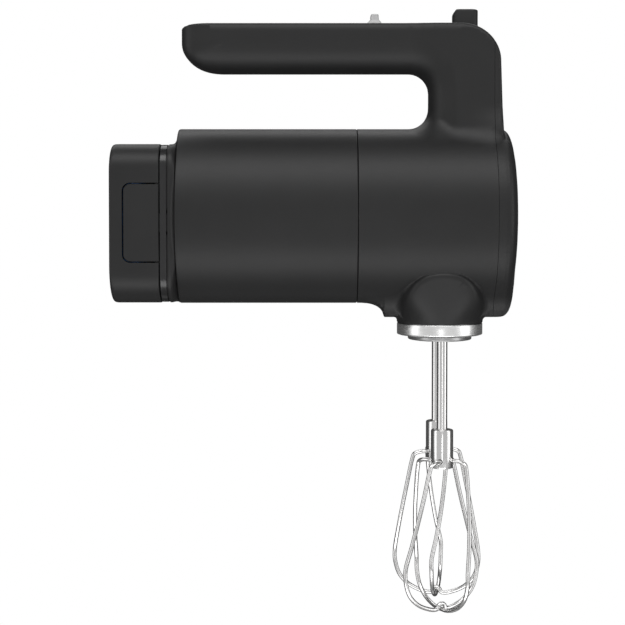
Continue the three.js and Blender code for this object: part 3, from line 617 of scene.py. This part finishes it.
def pack_ring(x, inset=0.0, drop=0.0):
    """The battery's section at x, smaller by inset all round and by drop at the top and the bottom."""
    outline = rounded_outline(-PACK_HIGH[1] + inset, PACK_HIGH[1] - inset,
                              PACK_LOW[2] + inset + drop, PACK_HIGH[2] - inset - drop,
                              [r - inset for r in PACK_RADII], arc=16, edge=8)
    return np.column_stack([np.full(len(outline), float(x)), outline])


def towards_oval(ring, x, share, inset):
    """A ring between the battery's outline (share 0) and the barrel's (share 1)."""
    angle = np.arctan2((ring[:, 2] - AXLE) / HALF_H, ring[:, 1] / HALF_W)
    oval = np.stack([np.full(len(ring), float(x)), (HALF_W - inset) * np.cos(angle),
                     AXLE + (HALF_H - inset) * np.sin(angle)], axis=1)
    mixed = ring + (oval - ring) * share
    mixed[:, 0] = x
    return mixed


front, rear = REAR_HIGH[0], REAR_LOW[0]
barrel = loft("rear_barrel", [
    oval_ring(front, 0.35), oval_ring(front - 0.3, 0.02), oval_ring(front - 0.8, 0), oval_ring(front - 3, 0),
    oval_ring(rear + 3, 0), oval_ring(rear + 0.5, 0), oval_ring(rear + 0.15, 0.08), oval_ring(rear, 0.3),
    oval_ring(rear, 2.2), oval_ring(rear + 3, 2.2), oval_ring(front - 3, 2.2), oval_ring(front, 2.2)],
    closed=True, smooth_angle=50)
place(barrel, "housing", "black_shell", "rear_housing")

rim, neck = DOCK_LOW[0] + 4.8, DOCK_LOW[0]
flare = []
for turn in np.linspace(0, np.pi / 2, 9):
    flare.append(towards_oval(pack_ring(0, 0.1), rim + 0.8 + 3.5 * np.sin(turn), 1 - np.cos(turn), 0.25))
dock = loft("dock_rim", [
    pack_ring(neck + 0.1, 1.8), pack_ring(neck + 0.1, 1.4), pack_ring(rim, 1.4), pack_ring(rim, 0.5),
    pack_ring(rim + 0.12, 0.22), pack_ring(rim + 0.4, 0.1), pack_ring(rim + 0.85, 0.1), *flare,
    towards_oval(pack_ring(0), REAR_LOW[0] - 0.2, 1, 0.5),
    towards_oval(pack_ring(0), DOCK_HIGH[0] - 8.9, 1, 2.9),
    towards_oval(pack_ring(0), DOCK_HIGH[0], 1, 2.9)], smooth_angle=40)
blades_low, blades_high = corners("dock_terminals")
tools = [block("terminal_cutter", (-172, -148), (-11.8, 11.8), (blades_low[2] - 0.5, blades_high[2] + 0.5))]
tools += [block("pocket_cutter", (-172, -160.5), tuple(sorted((s * 29.5, s * 35.9))), (64, 79))
          for s in (-1, 1)]
boolean(dock, *tools)
sharpen(dock, 40)
place(dock, "housing", "black_shell", "battery_dock")
strip = loft("dock_strip", [
    pack_ring(neck + 0.25, 0.65), pack_ring(neck + 0.35, 0.5), pack_ring(neck + 0.55, 0.42),
    pack_ring(neck + 0.7, 0.42), pack_ring(rim - 1.05, 0.42), pack_ring(rim - 0.9, 0.42),
    pack_ring(rim - 0.78, 0.5), pack_ring(rim - 0.7, 0.7), pack_ring(rim - 0.7, 1.35),
    pack_ring(neck + 0.25, 1.35)], closed=True, smooth_angle=50)
place(strip, "housing", "dark_plastic")

back, mouth = PACK_LOW[0], PACK_HIGH[0]
BACK_RADIUS, BACK_REACH, BACK_DROP = 1.5, 4.6, 3.2  # the rear edge at the sides, and at top and bottom
bend = []
for t in np.linspace(np.pi / 2, 0, 17):
    ahead = BACK_REACH * (1 - np.cos(t))
    edge = max(BACK_RADIUS - ahead, 0) / BACK_RADIUS
    inset = BACK_RADIUS * (1 - math.sqrt(1 - edge ** 2))
    bend.append(pack_ring(back + ahead, inset, BACK_DROP * (1 - np.sin(t)) ** 1.4))
case = loft("battery_shell", [
    pack_ring(back + 2.3, 7), pack_ring(back + 3.5, 3.2), pack_ring(back + 8, 2.2), pack_ring(mouth, 2.2),
    pack_ring(mouth, 0.7), pack_ring(mouth - 0.15, 0.3), pack_ring(mouth - 0.5, 0.05),
    pack_ring(mouth - 0.9, 0), pack_ring(mouth - 3, 0), *bend, pack_ring(back, 6)], smooth_angle=50)
latch_low, latch_high = corners("near_latch")
LATCH_X = (latch_low[0], mouth)
LATCH_Z = (latch_low[2], latch_high[2])
LATCH_GAP = 0.75
tools = [block("latch_cutter", (LATCH_X[0] - LATCH_GAP, mouth + 2), tuple(sorted((s * 33, s * 40))),
               (LATCH_Z[0] - LATCH_GAP, LATCH_Z[1] + LATCH_GAP), (0, 0, 4.9, 4.9)) for s in (-1, 1)]
boolean(case, *tools)
sharpen(case, 40)
soften = case.modifiers.new("edges", "BEVEL")
soften.width, soften.segments = 0.25 * MM, 2
soften.limit_method, soften.angle_limit = "ANGLE", math.radians(60)
place(case, "battery", "black_shell", "battery_case")

for s, side in ((-1, "near"), (1, "far")):
    outer = s * PACK_HIGH[1]
    panel = block(f"{side}_latch_panel", LATCH_X, tuple(sorted((outer, outer - s * 2.2))), LATCH_Z,
                  (0.6, 0.6, 4.2, 4.2), bevel=0.35)
    hook = block("hook", (-176, -161.6), tuple(sorted((s * 33.2, s * 35))), (66, 77), (0.5, 0.5, 0.5, 0.5),
                 bevel=0.3)
    boolean(panel, hook, operation="UNION")
    sharpen(panel, 30)
    place(panel, f"{side}_latch", "black_shell", f"{side}_latch")


# ---- Steel ring and base plate ----
ring_r, r0, r1 = RING_HIGH[0], RING_LOW[2], RING_HIGH[2]
ring = turned("steel_ring", [
    (ring_r - 1.3, r0), (ring_r - 0.75, r0), (ring_r - 0.3, r0 + 0.15), (ring_r - 0.08, r0 + 0.4),
    (ring_r, r0 + 0.75), (ring_r, r1 - 0.35), (ring_r - 0.1, r1 - 0.1), (ring_r - 0.35, r1),
    (ring_r - 1.3, r1)],
    sides=160, closed=True, smooth_angle=50)
place(ring, "housing", "brushed_ring", "collar_ring")

LIP_X, LIP_Y = 19.5, PLATE_HIGH[1]
lip_top = r0 - 0.3
plug = ring_r - 1.6
plug_top = r1 + 0.2


def oval_level(rx, ry, z, sides=128):
    """An oval at one height."""
    t = np.linspace(0, 2 * np.pi, sides, endpoint=False)
    return np.stack([rx * np.cos(t), ry * np.sin(t), np.full(sides, float(z))], axis=1)


sole_levels = [(0.9, 0), (0.35, 0.08), (0.1, 0.35), (0, 0.9), (0, lip_top - 0.5), (0.15, lip_top - 0.15),
               (0.5, lip_top)]
plug_levels = [(plug, lip_top + 0.01), (plug, plug_top), (plug - 1.1, plug_top), (plug - 1.1, PLATE_HIGH[2])]
sole = loft("sole_plate", [oval_level(LIP_X - i, LIP_Y - i, z) for i, z in sole_levels]
            + [oval_level(r, r, z) for r, z in plug_levels], smooth_angle=40)
tools = [turned("socket_cutter", [(4.7, -2), (4.7, -0.01), (4.0, 0.7), (4.0, 20)], (0, y), 48)
         for y in SOCKETS]
boolean(sole, *tools)
sharpen(sole, 40)
place(sole, "housing", "grey_plastic", "base_plate")


# ---- Slider and eject button ----
def tapered(name, levels, radius=0.8, edge=2):
    """A loft upwards through rounded rectangles: z, x0, x1, half width."""
    rings = []
    for z, x0, x1, half in levels:
        shape = rounded_outline(x0, x1, -half, half, [radius] * 4, arc=6, edge=edge)
        rings.append(np.column_stack([shape, np.full(len(shape), float(z))]))
    return loft(name, rings, smooth_angle=40)


SLIDER_FOOT = 184  # its neck passes through the slot down to here
x0, x1, z0, z1 = SLIDER_LOW[0], SLIDER_HIGH[0], TOP + 0.3, SLIDER_HIGH[2]
knob = tapered("slider_knob", [
    (SLIDER_FOOT, x0 + 2.6, x1 - 2.5, 1.9), (z0 - 0.01, x0 + 2.6, x1 - 2.5, 1.9),
    (z0, x0 + 0.3, x1 - 0.3, 5.8), (z0 + 0.3, x0, x1, 6), (z0 + 0.9, x0 + 0.35, x1 - 0.2, 5.9),
    (z0 + 1.9, x0 + 1.3, x1 - 0.9, 5.5), (z0 + 2.9, x0 + 2.3, x1 - 1.8, 5.05),
    (z1 - 0.5, x0 + 2.5, x1 - 1.95, 4.9), (z1 - 0.15, x0 + 2.7, x1 - 2.1, 4.75),
    (z1, x0 + 3.1, x1 - 2.5, 4.4)])
place(knob, "speed_slider", "silver_plastic", "speed_slider")

rear, front = BUTTON_X
foot, head, half = BUTTON_LOW[2], BUTTON_HIGH[2], 7
rounding = [(1.1, 0), (0.75, 0.06), (0.3, 0.35), (0.07, 0.8), (0, 1.4)]  # below the top, and inwards
button = tapered("eject_cap", [(foot, rear, front, half)]
                 + [(head - down, rear + i, front - i, half - i) for down, i in rounding], 3.6, 6)
boolean(button, block("rear_rounding", (rear, front + 1), (-8, 8), (foot - 1, head + 1), (0, 0, 5.2, 0)),
        operation="INTERSECT")
flange = tapered("flange", [(foot, 5.5, 24.4, 9), (foot + 2.5, 5.5, 24.4, 9)], 2)
boolean(button, flange, operation="UNION")
sharpen(button, 45)
place(button, "ejector", "black_shell", "eject_button")


# ---- Beaters ----
def between(start, end, at, first, last):
    return (end - at) / (end - start) * first + (at - start) / (end - start) * last


def curve_through(control, per_span=18):
    """Points on a centripetal Catmull-Rom curve through the control points."""
    control = np.asarray(control, float)
    p = np.vstack([2 * control[0] - control[1], control, 2 * control[-1] - control[-2]])
    result = []
    for i in range(1, len(p) - 2):
        q = p[i - 1:i + 3]
        t = np.concatenate([[0], np.cumsum(np.linalg.norm(np.diff(q, axis=0), axis=1) ** 0.5)])
        s = np.linspace(t[1], t[2], per_span, endpoint=False)[:, None]
        a = [between(t[k], t[k + 1], s, q[k], q[k + 1]) for k in range(3)]
        b = [between(t[k], t[k + 2], s, a[k], a[k + 1]) for k in range(2)]
        result.append(between(t[1], t[2], s, b[0], b[1]))
    result.append(control[-1:])
    return np.concatenate(result)


def wire(name, path, radius, sides=16):
    """A round wire along a path, without twist, with slightly domed ends."""
    dome, narrow = 0.25, 0.6 * radius
    along = np.gradient(path, axis=0)
    along /= np.linalg.norm(along, axis=1, keepdims=True)
    side = np.cross(along[0], [0.3, 0.2, 0.9])
    side /= np.linalg.norm(side)
    angle = np.linspace(0, 2 * np.pi, sides, endpoint=False)[:, None]
    rings = []
    for k, point in enumerate(path):
        side = side - along[k] * side.dot(along[k])
        side /= np.linalg.norm(side)
        up = np.cross(along[k], side)
        ring = np.cos(angle) * side + np.sin(angle) * up
        if k == 0:
            rings += [point - along[k] * dome + narrow * ring, point + radius * ring]
        elif k == len(path) - 1:
            rings += [point + radius * ring, point + along[k] * dome + narrow * ring]
        else:
            rings.append(point + radius * ring)
    return loft(name, rings, smooth_angle=60)


WIRE = 1.27  # radius
STEM = 3.15  # radius
COLLAR_RISE = 2.4  # the finished collar reaches a little higher up the stem
ARM_TWIST, HOLE_TWIST = math.radians(27.6), math.radians(44)
HOLE_Z, SHOULDER_Z, WIDEST_Z = -72.0, -77.0, -136.0
HOLE_R, SHOULDER_R = 7.0, 16.3
FOOT = corners("near_beater_loop_a")[0][2] + 1.31
PHASES = (math.radians(31), math.radians(-11))  # how the near and the far beater are turned


def loop_path(hooked, turn):
    """The middle line of one loop: from the collar down an arm, across the foot and up again."""
    arm = [[3, HOLE_Z], [HOLE_R, HOLE_Z], [12, -72.2], [15.2, -73.7], [SHOULDER_R, SHOULDER_Z], [18.9, -92],
           [21.5, -107], [24, -121.5], [26.4, WIDEST_Z], [26.2, -143], [23.4, -151.5], [17.5, -157.6],
           [10.5, -161]]
    crossing = [[5.2, 0.2], [3.1, 0.6], [1.9, 2.6], [0, 3.4]] if hooked else [[4.5, 0.1], [0, 0]]
    half = []
    for radius, z in arm + [[r, FOOT + rise] for r, rise in crossing]:
        fall = min(max((z - WIDEST_Z) / (SHOULDER_Z - WIDEST_Z), 0), 1)
        entry = min(max((SHOULDER_R - radius) / (SHOULDER_R - HOLE_R), 0), 1)
        twist = ARM_TWIST + (HOLE_TWIST - ARM_TWIST) * entry if z > SHOULDER_Z else ARM_TWIST * fall
        half.append([radius * math.sin(twist + turn), -radius * math.cos(twist + turn), z])
    half = np.array(half)
    other = half[:-1][::-1] * [-1, -1, 1]
    return curve_through(np.vstack([half, other]))


for name, y, phase in zip(("near", "far"), SOCKETS, PHASES):
    body = f"{name}_beater"
    low, high = corners(f"{body}_shaft")
    shaft = turned(f"{name}_stem", [
        (2.6, low[2]), (STEM, low[2] + 0.6), (STEM, 30), (STEM, high[2] - 3), (2.9, high[2] - 1.2),
        (2.1, high[2])], (0, y), 64)
    place(shaft, body, "bright_wire", f"{body}_shaft")
    low, high = corners(f"{body}_collar")
    high[2] += COLLAR_RISE
    collar = turned(f"{name}_hub", [
        (3.5, low[2] + 11.2), (3.5, high[2] - 0.6), (3.9, high[2]), (5.9, high[2]), (6.5, high[2] - 0.25),
        (6.75, high[2] - 0.9), (6.75, low[2] + 0.9), (6.5, low[2] + 0.25), (5.9, low[2])], (0, y))
    tools = []
    for quarter in range(4):
        turn = phase + HOLE_TWIST + quarter * math.pi / 2
        out = np.array([math.sin(turn), -math.cos(turn), 0])
        start = np.array([0, y, HOLE_Z])
        path = np.array([start + reach * out for reach in (2.4, 5, 9)])
        tools.append(wire("hole_cutter", path, 1.65, 24))
    boolean(collar, *tools)
    sharpen(collar, 35)
    place(collar, body, "bright_wire", f"{body}_collar")
    for letter, hooked, quarter in (("a", False, 0), ("b", True, math.pi / 2)):
        path = loop_path(hooked, phase + quarter) + [0, y, 0]
        place(wire(f"{name}_wire_{letter}", path, WIRE), body, "bright_wire", f"{body}_loop_{letter}")


# ---- The CAD pieces that stay, inside ----
replaced = {n for o in bpy.data.objects for n in o.get("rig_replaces", [])}
for name, node in frame["nodes"].items():
    if name in replaced:
        continue
    slot = slot_of.get(name, "dark_plastic")
    if not node.material_slots:
        node.data.materials.append(LOOKS[slot])
    for holder in node.material_slots:
        holder.material = LOOKS[slot]


# ---- Floor, light and camera ----
def softbox(name, where, target, size, power):
    """A white rectangular light, in metres and watts."""
    data = bpy.data.lights.new(name, "AREA")
    data.energy = power
    data.shape, data.size, data.size_y = "RECTANGLE", size[0], size[1]
    lamp = bpy.data.objects.new(name, data)
    bpy.context.scene.collection.objects.link(lamp)
    lamp.location = where
    aim = np.array(target, float) - np.array(where, float)
    lamp.rotation_euler = Vector(aim).to_track_quat("-Z", "Y").to_euler()
    lamp.visible_camera = False


HEART = (-0.07, 0.0, 0.04)
softbox("upper_softbox", (-0.1, -0.72, 1.05), HEART, (1.5, 0.55), 8.6)
softbox("lower_softbox", (-0.1, -0.75, -0.85), HEART, (1.5, 0.45), 5.7)
softbox("left_softbox", (-1.3, -0.35, 0.1), HEART, (0.6, 1.3), 2.8)
softbox("right_softbox", (1.15, -0.45, 0.1), HEART, (0.6, 1.3), 3.2)
softbox("upper_rear_softbox", (-0.1, 0.7, 1.05), HEART, (1.4, 0.7), 5.5)
softbox("lower_rear_softbox", (-0.1, 0.45, -1.1), HEART, (1.4, 0.4), 0.6)
softbox("front_strip", (-0.02, -1.1, -0.08), (0, 0, 0.006), (0.14, 0.4), 0.4)

world = bpy.data.worlds.new("studio")
bpy.context.scene.world = world
world.use_nodes = True
tree = world.node_tree
tree.nodes.clear()
# White to the camera. As light, brighter in front of the mixer than behind it.
direction = tree.nodes.new("ShaderNodeTexCoord")
split = tree.nodes.new("ShaderNodeSeparateXYZ")
fade = tree.nodes.new("ShaderNodeMapRange")
fade.inputs["From Min"].default_value = -0.6
fade.inputs["From Max"].default_value = 0.35
fade.inputs["To Min"].default_value = 0.75
fade.inputs["To Max"].default_value = 0.1
room = tree.nodes.new("ShaderNodeBackground")
white = tree.nodes.new("ShaderNodeBackground")
white.inputs["Color"].default_value = (1, 1, 1, 1)
rays = tree.nodes.new("ShaderNodeLightPath")
blend = tree.nodes.new("ShaderNodeMixShader")
output = tree.nodes.new("ShaderNodeOutputWorld")
tree.links.new(direction.outputs["Generated"], split.inputs["Vector"])
tree.links.new(split.outputs["Y"], fade.inputs["Value"])
tree.links.new(fade.outputs["Result"], room.inputs["Strength"])
tree.links.new(rays.outputs["Is Camera Ray"], blend.inputs["Fac"])
tree.links.new(room.outputs["Background"], blend.inputs[1])
tree.links.new(white.outputs["Background"], blend.inputs[2])
tree.links.new(blend.outputs["Shader"], output.inputs["Surface"])

floor_material, _, floor_shader = nodes_of("pale_floor")
floor_shader.inputs["Base Color"].default_value = (0.9, 0.9, 0.9, 1)
floor_shader.inputs["Roughness"].default_value = 0.9
floor_shader.inputs["Emission Color"].default_value = (1, 1, 1, 1)
floor_shader.inputs["Emission Strength"].default_value = 0.9
FLOOR_Z, FLOOR_X, FLOOR_RADIUS, FLOOR_SIDES = -600, -76, 230, 40
around = np.linspace(0, 2 * np.pi, FLOOR_SIDES, endpoint=False)
disc = [(FLOOR_X + FLOOR_RADIUS * math.cos(t), FLOOR_RADIUS * math.sin(t), FLOOR_Z) for t in around]
floor = mesh_of("floor", disc, [tuple(range(FLOOR_SIDES))], 0)
floor.data.materials.append(floor_material)
floor.visible_diffuse = False
floor.visible_glossy = False
floor.visible_shadow = False

CAMERA_PITCH = 1.864  # degrees below the level
camera_data = bpy.data.cameras.new("camera")
camera_data.sensor_width = 36.0
camera_data.lens = 86.3
camera_data.shift_x = -0.004
camera_data.shift_y = -0.0764
camera_data.clip_start = 0.01
camera = bpy.data.objects.new("camera", camera_data)
bpy.context.scene.collection.objects.link(camera)
camera.location = (-0.0766, -0.920, 0.0754)
camera.rotation_euler = (math.radians(90 - CAMERA_PITCH), 0, 0)
bpy.context.scene.camera = camera
bpy.context.scene.view_settings.view_transform = "Standard"
